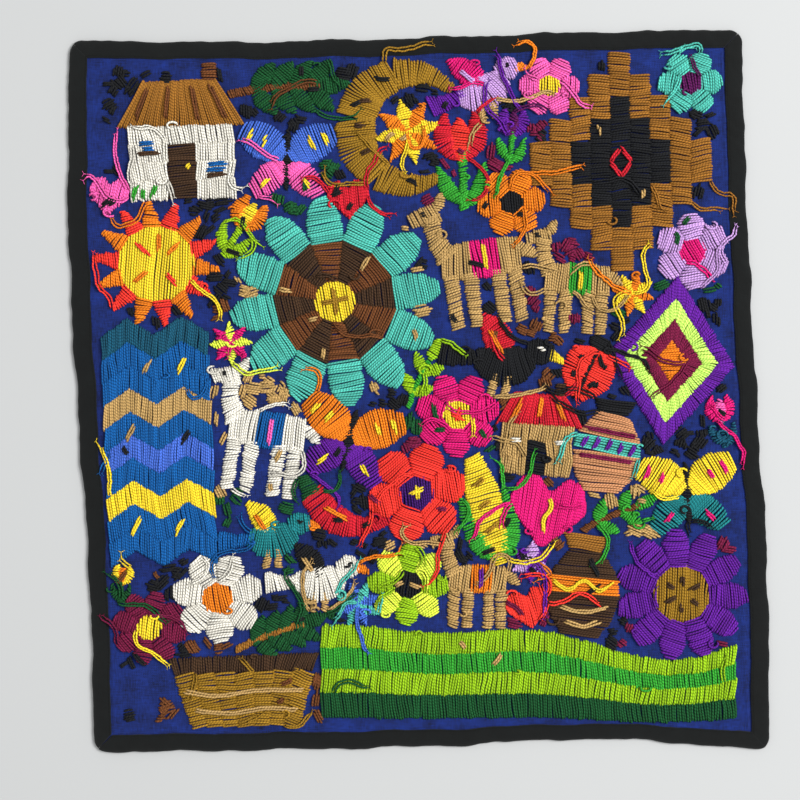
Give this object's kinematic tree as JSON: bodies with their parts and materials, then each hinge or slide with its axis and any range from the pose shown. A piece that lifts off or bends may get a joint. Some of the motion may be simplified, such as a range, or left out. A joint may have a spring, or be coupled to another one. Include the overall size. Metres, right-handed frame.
{
  "type": "arpillera textile",
  "caption": "Flat square wall textile: a cotton ground with raised satin-stitched yarn motifs and a folded cotton binding with mitred corners.",
  "frame": {"origin": "middle of the textile's outline, on the underside that it lies on", "axes": "+Z out of the stitched face, +Y to the top of the design, +X to its right"},
  "size_m": [0.4906, 0.5048, 0.0049],
  "materials": {
    "ground_cotton": "plain-woven cotton, royal blue",
    "binding_cotton": "plain-woven cotton, black, folded",
    "yarn_white": "acrylic yarn in satin stitch, cream white",
    "yarn_black": "acrylic yarn in satin stitch, black",
    "yarn_tan": "acrylic yarn in satin stitch, tan",
    "yarn_ochre": "acrylic yarn in satin stitch, ochre",
    "yarn_gold": "acrylic yarn in satin stitch, olive gold",
    "yarn_brown": "acrylic yarn in satin stitch, dark brown",
    "yarn_peach": "acrylic yarn in satin stitch, peach",
    "yarn_lime": "acrylic yarn in satin stitch, lime",
    "yarn_yellow": "acrylic yarn in satin stitch, yellow",
    "yarn_orange": "acrylic yarn in satin stitch, orange",
    "yarn_scarlet": "acrylic yarn in satin stitch, scarlet",
    "yarn_red": "acrylic yarn in satin stitch, dark red",
    "yarn_burgundy": "acrylic yarn in satin stitch, burgundy",
    "yarn_pink": "acrylic yarn in satin stitch, pink",
    "yarn_lilac": "acrylic yarn in satin stitch, lilac",
    "yarn_purple": "acrylic yarn in satin stitch, purple",
    "yarn_blue": "acrylic yarn in satin stitch, bright blue",
    "yarn_cornflower": "acrylic yarn in satin stitch, cornflower blue",
    "yarn_teal": "acrylic yarn in satin stitch, teal",
    "yarn_turquoise": "acrylic yarn in satin stitch, turquoise",
    "yarn_green": "acrylic yarn in satin stitch, green",
    "yarn_dark_green": "acrylic yarn in satin stitch, dark green"
  },
  "bodies": {
    "root": {"ground_cloth": "ground_cotton", "binding_bottom": "binding_cotton", "binding_left": "binding_cotton", "binding_right": "binding_cotton", "binding_top": "binding_cotton", "basket": "yarn_gold", "beetle_east": "yarn_scarlet", "bird_middle": "yarn_black", "bird_south": "yarn_white", "bird_top": "yarn_lilac", "bird_west": "yarn_teal", "bloom_basket_left": "yarn_burgundy", "bloom_basket_right": "yarn_white", "bloom_middle": "yarn_pink", "bloom_north_east": "yarn_turquoise", "bloom_north_west": "yarn_pink", "bloom_south_east": "yarn_lilac", "bloom_south_west": "yarn_orange", "bloom_west": "yarn_lime", "bud_east": "yarn_pink", "bud_north": "yarn_green", "bud_south": "yarn_yellow", "bud_west": "yarn_lime", "butterfly_east": "yarn_yellow", "butterfly_middle": "yarn_orange", "butterfly_top": "yarn_cornflower", "chilli_middle": "yarn_red", "cottage": "yarn_white", "crescent": "yarn_gold", "field_rows": "yarn_lime", "heart_middle": "yarn_pink", "heart_north": "yarn_red", "heart_south": "yarn_scarlet", "heart_west": "yarn_pink", "house_middle": "yarn_tan", "llama_east": "yarn_tan", "llama_north": "yarn_tan", "llama_south": "yarn_tan", "llama_west": "yarn_white", "maize_middle": "yarn_yellow", "nested_diamonds": "yarn_purple", "poppy": "yarn_scarlet", "pot_north": "yarn_peach", "pot_south": "yarn_brown", "rosette": "yarn_turquoise", "sprig_east": "yarn_green", "sprig_middle": "yarn_lime", "sprig_south": "yarn_dark_green", "sprig_top": "yarn_dark_green", "star_east": "yarn_yellow", "star_middle": "yarn_lilac", "star_moon": "yarn_orange", "star_south": "yarn_turquoise", "star_west": "yarn_yellow", "stepped_diamond": "yarn_ochre", "sun": "yarn_yellow", "sunflower": "yarn_purple", "tulip_top": "yarn_green", "zigzag_rows": "yarn_blue"}
  },
  "joints": []
}
